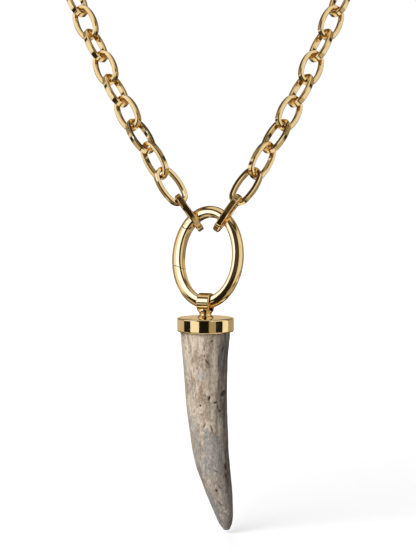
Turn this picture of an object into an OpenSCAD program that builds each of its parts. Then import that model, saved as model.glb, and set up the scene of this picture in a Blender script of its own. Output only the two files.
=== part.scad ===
// Antler pendant necklace. An antler tip in a gold cap hangs by its bail from a hinged
// oval ring, and the ring from a neck chain of oval links. The origin is the middle of
// the chain at the nape of the neck. The pendant faces -Y, +X is to its right and +Z up.

/* [Chain] */
// Links on each side of the neck, between the ring and the nape link
links_per_side = 27; // [26:1:28]
// Links on each side that are pieces of their own, counted from the ring
free_links = 20; // [16:1:20]
// Links in each joined stretch across the back of the neck
stretch_links = 5; // [4:1:5]
// Outer width of a link
link_width = 7.1; // [7:0.1:7.4]
// Thickness of the wire across the face of a link
link_wall = 1.3; // [1.2:0.05:1.35]
// Depth of the wire through a link
link_depth = 1.8; // [1.6:0.05:1.85]
// Bevel along the edges of the wire
link_bevel = 0.45; // [0.3:0.05:0.5]
// Clear gap between two links where one hooks into the next
link_gap = 0.65; // [0.6:0.05:0.7]
// How deep the links of a joined stretch bite into each other
link_bite = 0.25; // [0.25:0.05:0.3]

/* [Lie of the chain] */
// Roll of the two links that hold the ring, from lying flat on the chest
roll_at_ring = 81; // [80:0.1:82]
// Roll that the next links share, away from the middle of the chest
roll_shared = 47; // [44:0.5:49]
// How far the turned ring rolls the links of one side more than that and the others less
roll_apart = 3; // [2:0.1:4]
// Number of links over which most of that shared roll dies away
roll_fade = 4; // [3.8:0.1:4.6]
// How far each link falls short of lying flat, or of standing on its edge
roll_slack = 7; // [5:0.1:9]

/* [Oval ring] */
// Outer width of the ring
ring_width = 21.6; // [21.2:0.1:21.8]
// Outer height of the ring
ring_height = 29.8; // [29.4:0.1:30]
// Width of the opening inside the ring
opening_width = 15; // [14.9:0.1:15.2]
// Height of the opening inside the ring
opening_height = 23.3; // [23.2:0.1:23.5]
// How far the opening lies towards the side without the gate
opening_shift = 0.2; // [0:0.05:0.3]
// How far the opening lies below the middle of the ring
opening_drop = 0; // [0:0.05:0.1]
// Depth of the ring from front to back
ring_depth = 3.3; // [3.1:0.1:3.4]
// Rounding of the two edges round the ring's outside
ring_round = 1.3; // [1.2:0.05:1.4]
// Rounding of the two edges round the opening
opening_round = 0.8; // [0.7:0.05:0.9]
// Turn of the ring about the vertical, with its plain side towards the viewer
ring_yaw = 22; // [15:1:24]
// How far the ring's top leans back, in line with the start of the chain
ring_lean = 18; // [10:1:20]

/* [Gate] */
// Place of the gate's hinge, as an angle round the ring from its plain side
hinge_angle = 129; // [127:1:131]
// Place of the seam where the gate meets the ring, as an angle round the ring
seam_angle = 190; // [186:1:194]
// Slope of the seam
seam_slope = -25; // [-35:1:-15]
// Width of the gap at the seam
seam_gap = 0.12; // [0.08:0.01:0.2]
// Radius of the rounded end of the two ears that hold the gate
ear_radius = 1.75; // [1.7:0.01:1.8]
// Thickness of the gate's tongue between the ears
tongue_depth = 1.5; // [1.3:0.1:1.6]
// Radius of the hinge pin
pin_radius = 0.45; // [0.4:0.05:0.5]
// Running gap round the tongue and the pin
hinge_gap = 0.05; // [0.04:0.01:0.08]

/* [Pendant] */
// Height from the cap's top to the middle of the bail's hole
bail_up = 4.15; // [4:0.05:4.4]
// Outer diameter of the cap
cap_diameter = 16; // [15.6:0.1:16.4]
// Height of the cap
cap_height = 3.95; // [3.8:0.05:4.2]
// Thickness of the cap's top
cap_top = 1.1; // [0.9:0.1:1.2]
// Thickness of the cap's side
cap_wall = 0.75; // [0.7:0.05:0.8]
// Rounding of the cap's outer edges
cap_round = 0.4; // [0.2:0.05:0.5]
// Width of the bail along the ring
bail_width = 3.7; // [3.4:0.1:3.8]
// Outer diameter of the bail's loop
bail_diameter = 5.5; // [5.4:0.05:5.6]
// Diameter of the hole in the middle of the bail's loop
bail_hole = 4.35; // [4.3:0.05:4.4]
// How much wider the bail's hole is at its two mouths
bail_flare = 0.5; // [0.45:0.05:0.6]
// Diameter of the neck between the bail's loop and the cap
neck_diameter = 3.3; // [3:0.1:3.5]
// Diameter of the peg below the neck, which runs through the cap into the antler
peg_diameter = 2; // [1.8:0.1:2.2]
// Length of the peg below the cap's top
peg_length = 6; // [5:0.5:8]

/* [Antler] */
// Gap between the antler and the cap it is glued into
antler_gap = 0.08; // [0.05:0.01:0.12]
// Sides round the antler
antler_sides = 32; // [24:4:36]
// Rings between two rows of the antler's table
antler_steps = 3; // [2:1:3]

/* [Hidden] */
$fn = 48;

// Stations of the chain from the ring to the nape, on the right-hand side.
// Columns: across from the middle, back from the pendant, up from near the ring's middle.
STATIONS = [
    [2.8, 6.9, 8.6],
    [12.2, 8.5, 22.1],
    [19.9, 15.7, 34.9],
    [27.3, 25.3, 47.9],
    [34.5, 36.6, 63.5],
    [40.7, 45.4, 76.9],
    [46, 61, 95.5],
    [52, 82.5, 112],
    [54.5, 107, 125],
    [47.5, 132, 134],
    [28.5, 150, 140.5],
    [0, 157, 142.5]
];
NAPE = STATIONS[len(STATIONS) - 1];
// The middle of the neck that the links lie flat against
neck_axis_back = 110;
// Samples between two stations
route_steps = 16;
// The ring hangs turned, so the chain starts nearer the viewer on one side of it
chain_offset = 2;
offset_run = 40;

// Where the bail hangs on the ring, in the same columns as the stations
HANG = [-0.78, 0, -12.6];

// Rows of the antler below the cap's lower edge, from the photo's outline.
// Columns: down, shift to the right of the cap's middle, half width, half depth.
ANTLER = [
    [-2.75, -0.1, 7.02, 7.02],
    [0, -0.1, 7, 7],
    [3.8, -0.06, 6.74, 6.72],
    [7.5, -0.04, 6.48, 6.4],
    [14.6, 0.03, 6.07, 5.95],
    [20.6, 0.32, 5.87, 5.7],
    [27.7, 0.82, 5.5, 5.3],
    [33.4, 1.37, 5.1, 4.95],
    [38.5, 2.22, 4.75, 4.6],
    [43.9, 3.42, 4.1, 4.05],
    [48.5, 4.48, 3.32, 3.35],
    [52, 5.18, 2.6, 2.65],
    [54.6, 5.62, 1.9, 1.95],
    [56, 5.88, 1.1, 1.15]
];
antler_tip_down = 56.55;

gold = "gold";
bone = "tan";

function two(k) = k < 10 ? str("0", k) : str(k);
function link_name(side, k) = str(side < 0 ? "link_left_" : "link_right_", two(k));

function unit(v) = v / norm(v);
function flat_on(v, axis) = unit(v - (v * axis) * axis);

// Smooth curve through the stations, level where it crosses the nape
function station(i) =
    i < 0 ? 2 * STATIONS[0] - STATIONS[1] :
    i < len(STATIONS) ? STATIONS[i] :
    let (s = STATIONS[2 * len(STATIONS) - 2 - i]) [-s[0], s[1], s[2]];
function curve(a, b, c, d, t) =
    0.5 * (2 * b + (c - a) * t + (2 * a - 5 * b + 4 * c - d) * t * t
        + (3 * b - a - 3 * c + d) * t * t * t);
ROUTE = concat(
    [for (i = [0:len(STATIONS) - 2]) for (j = [0:route_steps - 1])
        curve(station(i - 1), station(i), station(i + 1), station(i + 2), j / route_steps)],
    [NAPE]
);
function run_to(i) = i == 0 ? [0] :
    let (before = run_to(i - 1)) concat(before, [before[i - 1] + norm(ROUTE[i] - ROUTE[i - 1])]);
RUN = run_to(len(ROUTE) - 1);
route_length = RUN[len(RUN) - 1];
function along(s) = [for (k = [0:2]) lookup(s, [for (i = [0:len(ROUTE) - 1]) [RUN[i], ROUTE[i][k]]])];

// Half of the nape link lies on each side, so the links come out a whole number
pitch = route_length / (links_per_side + 0.5);
link_length = pitch + 2 * link_wall + link_gap;
nape_link = links_per_side + 1;

// Point where link k hooks into link k + 1, on one side of the neck
function hook(side, k) =
    let (s = k * pitch,
         p = s > route_length ? along(2 * route_length - s) : along(s),
         x = s > route_length ? -p[0] : p[0],
         away = max(0, 1 - s / offset_run))
    [side * x, p[1] - side * chain_offset * away * away, p[2]] - NAPE;

// Roll of link k about its length. The links lie on the chest and stand on it by turns.
function roll(side, k) =
    k == 1 ? roll_at_ring - side * roll_apart :
    (k % 2 == 0 ? roll_slack - 90 : -roll_slack)
        + (roll_shared - side * roll_apart) * exp(-pow((k - 1) / roll_fade, 2));

// Wire section: across the link's face, then through it
function wire_section() =
    let (a = link_wall / 2, b = link_depth / 2, c = link_bevel)
    [[a, b - c], [a - c, b], [c - a, b], [-a, b - c],
     [-a, c - b], [c - a, -b], [a - c, -b], [a, c - b]];

// A link is two end arcs and two flatter side arcs. Lines from the middle of a side arc
// through the middle of an end arc rise 24 on 7, and the arcs meet on those lines.
ARC_RUN = 7;
ARC_RISE = 24;
half_width = (link_width - link_wall) / 2;

// Piece of a wire hoop inside a wedge of the plane, whose point is the hoop's centre
module wire_arc(radius, wedge) {
    intersection() {
        rotate_extrude($fn = 96)
            translate([radius, 0])
                polygon(wire_section());
        linear_extrude(2 * link_depth, center = true)
            polygon(wedge);
    }
}

// One link lying flat, its length along X
module flat_link(total) {
    // Rounded, so that the ends of the arcs match
    unit_run = round((total - link_width) / 2 / (ARC_RUN - 1) * 1e4) / 1e4;
    for (turn = [0, 180]) rotate([0, 0, turn]) {
        translate([ARC_RUN * unit_run, 0])
            wire_arc(half_width - unit_run, [[0, 0], [ARC_RUN, -ARC_RISE], [ARC_RUN, ARC_RISE]]);
        translate([0, -ARC_RISE * unit_run])
            wire_arc(half_width + ARC_RISE * unit_run,
                [[0, 0], [ARC_RUN, ARC_RISE], [-ARC_RUN, ARC_RISE]]);
    }
}

// Link k of one side, cut short by so much at its two ends
module placed_link(side, k, near_cut, far_cut) {
    a = hook(side, k - 1);
    b = hook(side, k);
    length_axis = unit(b - a);
    middle = (a + b) / 2 + (near_cut - far_cut) / 2 * length_axis;
    outward = flat_on([middle[0], middle[1] + NAPE[1] - neck_axis_back, 0], length_axis);
    inward = side * cross(length_axis, outward);
    face = cos(roll(side, k)) * outward + sin(roll(side, k)) * inward;
    width_axis = cross(face, length_axis);
    multmatrix([
        [length_axis[0], width_axis[0], face[0], middle[0]],
        [length_axis[1], width_axis[1], face[1], middle[1]],
        [length_axis[2], width_axis[2], face[2], middle[2]],
        [0, 0, 0, 1]])
        flat_link(link_length - near_cut - far_cut);
}

module chain_link(side, k) {
    color(gold)
        placed_link(side, k, 0, 0);
}

// Links cut short where they hook into each other, so that they bite
module chain_stretch(side, first, last, runs_on) {
    cut = (link_gap + link_bite) / 2;
    color(gold)
        for (k = [first:last])
            placed_link(side, k, k == first ? 0 : cut, k == last && !runs_on ? 0 : cut);
}

module chain_back_left() {
    chain_stretch(-1, free_links + 1, free_links + stretch_links, false);
}

module chain_back_right() {
    chain_stretch(1, free_links + 1, free_links + stretch_links, false);
}

module chain_back_nape() {
    for (side = [-1, 1])
        chain_stretch(side, free_links + stretch_links + 1, links_per_side, true);
    color(gold)
        placed_link(1, nape_link, (link_gap + link_bite) / 2, (link_gap + link_bite) / 2);
}

// Skin over a stack of point loops, with flat ends
function skin_faces(rings, sides, closed) = concat(
    [for (i = [0:rings - (closed ? 1 : 2)]) for (j = [0:sides - 1])
        let (a = i * sides, b = ((i + 1) % rings) * sides, n = (j + 1) % sides)
        each [[a + j, b + j, b + n], [a + j, b + n, a + n]]],
    closed ? [] : [[for (j = [0:sides - 1]) j], [for (j = [sides - 1:-1:0]) (rings - 1) * sides + j]]
);

function ring_outside(t) = [ring_width / 2 * cos(t), ring_height / 2 * sin(t)];
function ring_inside(t) =
    [opening_shift + opening_width / 2 * cos(t), opening_height / 2 * sin(t) - opening_drop];
function ring_middle(t) = (ring_outside(t) + ring_inside(t)) / 2;

// Turned and leaning like this, the ring is lowest at this angle round it
low_angle = atan2(
    -(ring_height + opening_height) * cos(ring_lean),
    -(ring_width + opening_width) * sin(ring_yaw) * sin(ring_lean)
);
low_at = ring_middle(low_angle);
// The ring's middle, placed so that the ring is lowest where the bail hangs
ring_centre = HANG - NAPE - [
    low_at[0] * cos(ring_yaw),
    low_at[1] * sin(ring_lean) - low_at[0] * sin(ring_yaw) * cos(ring_lean),
    low_at[1] * cos(ring_lean) + low_at[0] * sin(ring_yaw) * sin(ring_lean)
];

// Moves a piece from the ring's own frame, lying in its XZ plane, to where it hangs
module in_ring_frame() {
    translate(ring_centre)
        rotate([-ring_lean, 0, 0])
            rotate([0, 0, -ring_yaw])
                children();
}

// Section of the ring: across it from inside to outside, then front to back, in millimetres
function ring_section(half_wall) =
    [for (q = [0:3]) for (s = [0:3])
        let (a = q * 90 + s * 30, sx = (q == 0 || q == 3) ? 1 : -1, sy = q < 2 ? 1 : -1,
             r = sx > 0 ? ring_round : opening_round)
        [sx * (half_wall - r) + r * cos(a), sy * (ring_depth / 2 - r) + r * sin(a)]];

ring_steps = 72;
module ring_blank() {
    points = [for (i = [0:ring_steps - 1])
        let (t = i * 360 / ring_steps, m = ring_middle(t), out = ring_outside(t) - ring_inside(t))
        for (p = ring_section(norm(out) / 2))
            let (q = m + unit(out) * p[0]) [q[0], p[1], q[1]]];
    polyhedron(points, skin_faces(ring_steps, 16, true), convexity = 6);
}

hinge_at = ring_middle(hinge_angle);
hinge_out = unit(ring_outside(hinge_angle) - ring_inside(hinge_angle));
seam_at = ring_middle(seam_angle);
seam_dir = [cos(seam_slope), sin(seam_slope)];
seam_up = [-seam_dir[1], seam_dir[0]];

// Outline of the stretch of the ring that belongs to the gate, seen from the front
module gate_outline(gap) {
    reach = 6;
    polygon([
        hinge_at + reach * hinge_out,
        hinge_at - reach / 2 * hinge_out,
        seam_at + reach / 2 * seam_dir + gap * seam_up,
        seam_at - reach * seam_dir + gap * seam_up,
        seam_at - reach * seam_dir + [-reach, reach]
    ]);
}

// A flat outline in the ring's plane, given a depth about the ring's middle plane
module ring_slab(depth) {
    rotate([90, 0, 0])
        linear_extrude(depth, center = true)
            children();
}

module hinge_bore(radius) {
    ring_slab(ring_depth + 2)
        translate(hinge_at)
            circle(radius);
}

module ring_body() {
    color(gold) in_ring_frame() difference() {
        ring_blank();
        ring_slab(ring_depth + 2) difference() {
            gate_outline(0);
            translate(hinge_at) circle(ear_radius);
        }
        ring_slab(tongue_depth + 2 * hinge_gap) {
            gate_outline(0);
            translate(hinge_at) circle(ear_radius + hinge_gap);
        }
        hinge_bore(pin_radius + hinge_gap / 2);
    }
}

module ring_gate() {
    color(gold) in_ring_frame() difference() {
        intersection() {
            ring_blank();
            union() {
                ring_slab(ring_depth + 2) difference() {
                    gate_outline(seam_gap);
                    translate(hinge_at) circle(ear_radius + hinge_gap);
                }
                ring_slab(tongue_depth) {
                    gate_outline(seam_gap);
                    translate(hinge_at) circle(ear_radius - hinge_gap);
                }
            }
        }
        hinge_bore(pin_radius + hinge_gap);
    }
}

module hinge_pin() {
    color(gold) in_ring_frame()
        ring_slab(ring_depth - 0.1)
            translate(hinge_at) circle(pin_radius);
}

// Moves a piece from the pendant's own frame, with its origin in the middle of the
// cap's top, to where it hangs
module in_pendant_frame() {
    translate(HANG - NAPE - [0, 0, bail_up])
        children();
}

module bail() {
    rim = bail_flare / 2;
    hole = bail_hole / 2;
    outer = bail_diameter / 2;
    half = bail_width / 2;
    flare_steps = 6;
    color(gold) in_pendant_frame() {
        difference() {
            union() {
                translate([0, 0, bail_up]) rotate([0, 90, -ring_yaw])
                    cylinder(h = bail_width, r = outer, center = true);
                cylinder(h = bail_up, d = neck_diameter);
            }
            translate([0, 0, bail_up]) rotate([0, 90, -ring_yaw])
                rotate_extrude($fn = 96)
                    polygon(concat(
                        [[0, -half - 1]],
                        [[hole + rim, -half - 1]],
                        [for (i = [-flare_steps:flare_steps])
                            [hole + rim * pow(i / flare_steps, 2), half * i / flare_steps]],
                        [[hole + rim, half + 1]],
                        [[0, half + 1]]));
        }
        translate([0, 0, -peg_length]) cylinder(h = peg_length + 0.2, d = peg_diameter);
    }
}

module cap() {
    r = cap_diameter / 2;
    c = cap_round;
    color(gold) in_pendant_frame()
        rotate_extrude($fn = 96) {
            polygon(concat(
                [[peg_diameter / 2 + hinge_gap, 0]],
                [for (a = [0:15:90]) [r - c + c * sin(a), c * cos(a) - c]],
                [for (a = [0:15:90]) [r - c + c * cos(a), c - cap_height - c * sin(a)]],
                [[r - cap_wall, -cap_height], [r - cap_wall, -cap_top]],
                [[peg_diameter / 2 + hinge_gap, -cap_top]]));
        }
}

// One loop of points round the antler, from a row of its table
function antler_loop(row) =
    [for (j = [0:antler_sides - 1])
        let (a = -j * 360 / antler_sides)
        [row[1] + row[2] * cos(a), row[3] * sin(a), -row[0]]];

module antler() {
    last = len(ANTLER) - 1;
    inner_top = cap_height - cap_top - antler_gap;
    first = [-inner_top, ANTLER[0][1], ANTLER[0][2], ANTLER[0][3]];
    table = [for (i = [0:last]) i == 0 ? first : ANTLER[i]];
    rows = concat(
        [for (i = [0:last - 1]) for (j = [0:antler_steps - 1])
            curve(table[max(i - 1, 0)], table[i], table[i + 1], table[min(i + 2, last)],
                j / antler_steps)],
        [table[last]]
    );
    rings = len(rows);
    body = [for (row = rows) each antler_loop(row)];
    tip = [ANTLER[last][1] + 0.1, 0, -antler_tip_down];
    skin = skin_faces(rings, antler_sides, false);
    sides_only = [for (i = [0:len(skin) - 2]) skin[i]];
    point_faces = [for (j = [0:antler_sides - 1])
        [(rings - 1) * antler_sides + j, rings * antler_sides,
            (rings - 1) * antler_sides + (j + 1) % antler_sides]];
    color(bone) in_pendant_frame() difference() {
        translate([0, 0, -cap_height])
            polyhedron(concat(body, [tip]), concat(sides_only, point_faces), convexity = 4);
        translate([0, 0, -peg_length - antler_gap])
            cylinder(h = peg_length + 1, d = peg_diameter + 2 * hinge_gap);
    }
}

for (side = [-1, 1]) for (k = [1:free_links])
    chain_link(side, k);
chain_back_left();
chain_back_nape();
chain_back_right();
ring_body();
ring_gate();
hinge_pin();
bail();
cap();
antler();
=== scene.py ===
"""Looks of the antler pendant necklace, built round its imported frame.

Lengths are in millimetres until a mesh, a light or the camera is made.
"""
import math

import bmesh
import bpy
import numpy as np
from mathutils.noise import noise as noise_value
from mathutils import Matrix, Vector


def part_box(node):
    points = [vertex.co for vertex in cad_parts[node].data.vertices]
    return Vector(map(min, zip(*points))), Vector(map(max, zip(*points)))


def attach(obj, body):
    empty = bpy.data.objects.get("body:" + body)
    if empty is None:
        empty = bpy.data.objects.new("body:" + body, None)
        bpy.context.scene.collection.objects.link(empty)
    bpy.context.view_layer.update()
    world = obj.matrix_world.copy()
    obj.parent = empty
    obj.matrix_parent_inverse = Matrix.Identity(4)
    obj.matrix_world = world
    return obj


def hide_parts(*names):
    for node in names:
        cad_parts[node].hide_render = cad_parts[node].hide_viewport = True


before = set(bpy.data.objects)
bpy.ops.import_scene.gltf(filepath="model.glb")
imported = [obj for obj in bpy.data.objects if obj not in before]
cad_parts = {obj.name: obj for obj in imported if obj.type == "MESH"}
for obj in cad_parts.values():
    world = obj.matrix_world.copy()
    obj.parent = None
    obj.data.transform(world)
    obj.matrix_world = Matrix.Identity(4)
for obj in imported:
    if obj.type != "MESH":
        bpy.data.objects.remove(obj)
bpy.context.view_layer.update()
MM = 0.001

# Camera. The view distance is from the camera to the pendant's plane, and the pitch is in degrees.
PICTURE_WIDTH = 416
PIXELS_PER_MM = 3.57
VIEW_DISTANCE = 430.0
VIEW_PITCH = 4.0
SENSOR = 36.0
FAR_CLIP = 50000.0
# Where the camera aims in the pendant's plane: across, and up from the bail's hole
AIM_ACROSS = -0.084
AIM_ABOVE_BAIL = 7.07

# The chain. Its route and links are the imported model's, and only the bevel is finer.
# Stations of the route, from the ring to the nape. Columns: right, back, up.
STATIONS = np.array([
    [2.8, 6.9, 8.6],
    [12.2, 8.5, 22.1],
    [19.9, 15.7, 34.9],
    [27.3, 25.3, 47.9],
    [34.5, 36.6, 63.5],
    [40.7, 45.4, 76.9],
    [46, 61, 95.5],
    [52, 82.5, 112],
    [54.5, 107, 125],
    [47.5, 132, 134],
    [28.5, 150, 140.5],
    [0, 157, 142.5],
])
NAPE = STATIONS[-1]
# How far back the neck's axis lies, which the links turn their faces to
NECK_AXIS_BACK = 110.0
ROUTE_STEPS = 16
LINKS_PER_SIDE = 27
FREE_LINKS = 20
STRETCH_LINKS = 5
LINK_WIDTH = 7.1
LINK_WALL = 1.3
LINK_DEPTH = 1.8
LINK_BEVEL = 0.26
LINK_EDGE = 0.08
LINK_GAP = 0.65
# Rolls of the links about their length, in degrees, and how many links the turn near the ring fades over
ROLL_AT_RING = 81.0
ROLL_SHARED = 47.0
ROLL_APART = 3.0
ROLL_FADE = 4.0
ROLL_SLACK = 7.0
# Near the ring the right side hangs this far in front and the left as far behind, over this run
CHAIN_OFFSET = 2.0
OFFSET_RUN = 40.0
# A link's end and side arcs meet on a line of this run and rise, whose length is the rise plus one
ARC_RUN, ARC_RISE = 7.0, 24.0

# The ring and its gate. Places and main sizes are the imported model's. The section is rounder and the
# gaps are wider.
# HANG is the middle of the ring's wall where the bail hangs on it.
HANG = np.array([-0.78, 0, -12.6]) - NAPE
RING_SIZE = np.array([21.6, 29.8])
OPENING_SIZE = np.array([15.0, 23.3])
OPENING_SHIFT = 0.2
RING_DEPTH = 3.3
RING_YAW, RING_LEAN = math.radians(22), math.radians(18)
# Roundings of the ring's section. Columns: across the ring, front to back.
ROUND_OUTSIDE = (2.15, 1.5)
ROUND_INSIDE = (0.95, 0.8)
HINGE_ANGLE, SEAM_ANGLE, SEAM_SLOPE = math.radians(129), math.radians(190), math.radians(-25)
SEAM_GAP = 0.16
EAR_GAP = 0.2
EAR_RADIUS = 1.75
TONGUE_DEPTH = 1.5
HINGE_GAP = 0.05
# The core behind the seam: how deep it lies, its half width, and where it starts and ends above the seam
CORE_INSET, CORE_HALF, CORE_START, CORE_END = 0.45, 2.5, 0.03, 1.0
# How far a cutting shape reaches past the ring, in its plane and before or behind it
REACH = 6.0
CLEAR = 1.0

# The bail and the cap. The neck has a waist between its foot and its head, and the cap a faint crown.
# The bore's cutter reaches out of the bail, in half widths of it.
BAIL_UP = 4.15
BAIL_WIDTH, BAIL_DIAMETER, BAIL_HOLE, BAIL_FLARE, BAIL_ROUND = 3.7, 5.5, 4.35, 0.5, 0.3
NECK_DIAMETER, FOOT_DIAMETER, HEAD_DIAMETER = 3.4, 4.6, 4.5
SEAT, WAIST_LOW, WAIST_HIGH, HEAD_TOP = 0.01, 0.2, 1.75, 2.2
MOUTH_REACH = 1.3
PEG_DIAMETER, PEG_LENGTH = 2.0, 6.0
CAP_DIAMETER, CAP_HEIGHT, CAP_TOP, CAP_WALL, CAP_ROUND = 16.0, 3.95, 1.1, 0.75, 0.42
CAP_CROWN, CAP_BREAK = 0.02, 0.1

# Rows of the antler. Columns: down from the cap's lower edge, shift to the right, half width, half depth.
ANTLER = np.array([
    [-2.75, -0.1, 7.02, 7.02],
    [0, -0.1, 7, 7],
    [3.8, -0.06, 6.74, 6.72],
    [7.5, -0.04, 6.48, 6.4],
    [14.6, 0.03, 6.07, 5.95],
    [20.6, 0.32, 5.87, 5.7],
    [27.7, 0.82, 5.5, 5.3],
    [33.4, 1.37, 5.1, 4.95],
    [38.5, 2.22, 4.75, 4.6],
    [43.9, 3.42, 4.1, 4.05],
    [48.5, 4.48, 3.32, 3.35],
    [52, 5.18, 2.6, 2.65],
    [54.6, 5.62, 1.9, 1.95],
    [56, 5.88, 1.1, 1.15],
])
TIP_DOWN = 56.55
# Rows of the round tip, as shares of a quarter circle, and its lean to the right
TIP_ROWS = (0, 0.3, 0.55, 0.75, 0.9)
TIP_LEAN = 0.1
# Pits and scratches in the antler's front. Columns: down from the cap, across from its middle, length,
# width, slant from upright in degrees, depth.
MARKS = [
    (18.1, 1.1, 1.3, 0.46, 16, 0.5),
    (19.4, 2.9, 1.1, 0.42, 70, 0.4),
    (20.2, -1.5, 0.6, 0.5, 60, 0.35),
    (21.9, 4.2, 0.9, 0.55, 75, 0.4),
    (17.1, 5.1, 2.0, 1.2, 65, 0.55),
    (2.1, 1.85, 0.5, 0.5, 0, 0.35),
    (7.9, 0.5, 1.9, 0.36, -36, 0.26),
    (6.2, -0.3, 0.5, 0.4, 0, 0.25),
    (4.6, 5.0, 1.6, 0.5, 5, 0.35),
    (26.0, -0.4, 2.0, 0.34, 38, 0.23),
    (26.7, 1.8, 2.3, 0.34, -14, 0.23),
    (38.9, 2.9, 1.7, 0.34, -60, 0.23),
    (43.5, 4.0, 2.0, 0.34, -40, 0.23),
    (44.5, 3.1, 0.7, 0.5, 30, 0.35),
    (48.4, 4.2, 2.0, 0.34, -45, 0.23),
    (37.9, 5.8, 1.8, 0.8, 0, 0.4),
    (40.4, 5.9, 1.1, 0.8, 0, 0.35),
]
# Marks on the other sides: how many, and the range of each value in the order in which they are drawn.
# The angle is round the back, in radians from the right.
SCATTERED_MARKS = 46
SCATTERED = {
    "down": (2, 52),
    "angle": (0.1, math.pi - 0.1),
    "length": (0.5, 2.2),
    "slant": (-60, 60),
    "width": (0.34, 0.5),
    "depth": (0.2, 0.35),
}
SEED = 7
# Lumps of the antler. Columns: features per millimetre across and along, seed, height.
RIDGES = (0.62, 0.055, 3.1, 0.16)
GROOVES = (0.9, 0.12, 12.6, 0.1)
SWELL = (0.2, 0.1, 8.4, 0.16)
GRAIN = (1.7, 0.5, 5.7, 0.035)
LUMP_LIMIT = 0.2
# Below the cap the lumps and marks start here and fade in over a length, as they fade out to the tip
FADE_FROM, FADE_IN, FADE_OUT = 0.1, 1.2, 1.5
# How much slimmer the bare antler is than its rows
SHRINK = 0.06
# The depth that counts as 1 in the attribute for dirt
DIRTY_DEPTH = 0.3
# Where the antler greys towards its tip, and over what length
GREY_FROM, GREY_RUN = 26, 28
# The painted shade that darkens the antler's right flank, away from the lamps: its turn to the front in
# radians, its edge and softness as cosines, and its falloff
FLANK_TURN, FLANK_EDGE, FLANK_SOFT, FLANK_FALLOFF = 0.25, 0.3, 0.68, 1.6

# Colours of the gold plate, of the painted shade in its gaps, and of the antler
GOLD, PALE_GOLD = (0.92, 0.65, 0.28), (0.94, 0.69, 0.33)
# The first two colours of the next line are painted shade for the faces in the ring's gaps
PAINTED_GAP_SHADE, BROWN_PAINTED_GAP_SHADE = (0.05, 0.03, 0.015), (0.13, 0.08, 0.035)
TAN, CREAM = (0.50, 0.36, 0.24), (0.90, 0.74, 0.55)
PALE_CREAM, BONE = (0.92, 0.86, 0.76), (0.95, 0.88, 0.77)
CLOUD_GREY, SMOKE_GREY, BROWN = (0.44, 0.45, 0.44), (0.27, 0.25, 0.235), (0.2, 0.15, 0.115)
# The middle colour of the next line is painted shade on the antler's right flank
STREAK_BROWN, PAINTED_FLANK_SHADE, DIRT = (0.14, 0.115, 0.10), (0.12, 0.10, 0.09), (0.045, 0.03, 0.025)

# Light. Directions are in degrees as seen from the object. Azimuth 0 is towards the camera and grows to
# the right.
ROOM = (0.32, 0.28, 0.225)
# Cards all round, each laid over the ones before it, and dark flags between them.
# Columns: name, azimuth from and to, elevation from and to, colour, softness of the edges.
CARDS = [
    ("overhead", -181, 181, 64, 91, (0.74, 0.76, 0.8), 8),
    ("floor_glow", -181, 181, -91, -50, (0.9, 0.92, 0.95), 8),
    ("dark_behind_left", -181, -140, -55, 55, (0.11, 0.085, 0.055), 16),
    ("dark_behind_right", 140, 181, -55, 55, (0.11, 0.085, 0.055), 16),
    ("behind_left", -181, -135, 1, 14, (0.64, 0.53, 0.35), 2),
    ("behind_right", 135, 181, 1, 14, (0.64, 0.53, 0.35), 2),
    ("left_low", -113, -46, -44, 0, (0.53, 0.48, 0.42), 6),
    ("right_low", 20, 98, -52, 0, (0.53, 0.48, 0.42), 8),
    ("left_box", -113, -46, -6, 46, (0.98, 1.03, 1.15), 4),
    ("right_box", 20, 98, -4, 50, (0.86, 0.90, 1.0), 8),
    ("middle_dark", -46, 15, -44, 50, (0.024, 0.018, 0.012), 3),
    ("middle_dim", -32, 15, 17, 44, (0.075, 0.06, 0.042), 8),
    ("left_hot", -68, -38, 9, 44, (1.3, 1.6, 2.7), 3),
    ("left_high_line", -72, -22, 49, 61, (0.026, 0.02, 0.014), 3),
    ("front_low_dark", -72, -36, -38, 4, (0.026, 0.02, 0.014), 3),
    ("right_high_dark", 66, 92, 54, 68, (0.026, 0.02, 0.014), 3),
    ("flag_left", -109, -100, -48, 60, (0.04, 0.03, 0.02), 3),
    ("flag_right", 99, 108, -48, 60, (0.04, 0.03, 0.02), 3),
    ("flag_low", -181, 181, -52, -43, (0.04, 0.03, 0.02), 3),
    ("flag_high", -181, 181, 53, 61, (0.06, 0.045, 0.03), 3),
]
# The share of the cards' light that dull surfaces get
DIFFUSE_SHARE = 0.34
# The band of cards round the cap. Columns: azimuth from and to, colour.
BAND = [
    (-180, -92, (0.62, 0.60, 0.55)),
    (-92, -60, (0.012, 0.011, 0.01)),
    (-60, -25, (1.05, 1.1, 1.22)),
    (-25, 13, (0.012, 0.011, 0.01)),
    (13, 40, (0.40, 0.37, 0.31)),
    (40, 69, (0.012, 0.011, 0.01)),
    (69, 99, (1.0, 1.05, 1.15)),
    (99, 180, (0.42, 0.40, 0.36)),
]
# The band's radius, its lower and upper edge from the cap's middle, and the degrees that a face of it takes
BAND_RADIUS, BAND_LOW, BAND_HIGH = 70.0, -11.0, -2.0
BAND_SPACING = 4
# Lamps. Columns: name, azimuth and elevation seen from the antler's middle, size, strength in watts.
LAMPS = [
    ("key", -42, 32, 620, 3.9),
    ("back", -165, 35, 400, 1.2),
]
LAMP_COLOUR = (1.0, 0.99, 0.97)
LAMP_DISTANCE = 600.0
ANTLER_MIDDLE_DOWN = 28.0

# The floor and the dome
FLOOR_BELOW_TIP = 1.0
FLOOR_REACH = 6000.0
DOME_RADIUS = 8000.0
FLOOR_WHITE, FLOOR_PALER = (0.8, 0.8, 0.8), (0.82, 0.82, 0.82)
# The floor's own glow grows from the pendant outwards. Columns: distance, strength.
GLOW_NEAR, GLOW_FAR = (30.0, 0.42), (800.0, 0.95)

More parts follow.
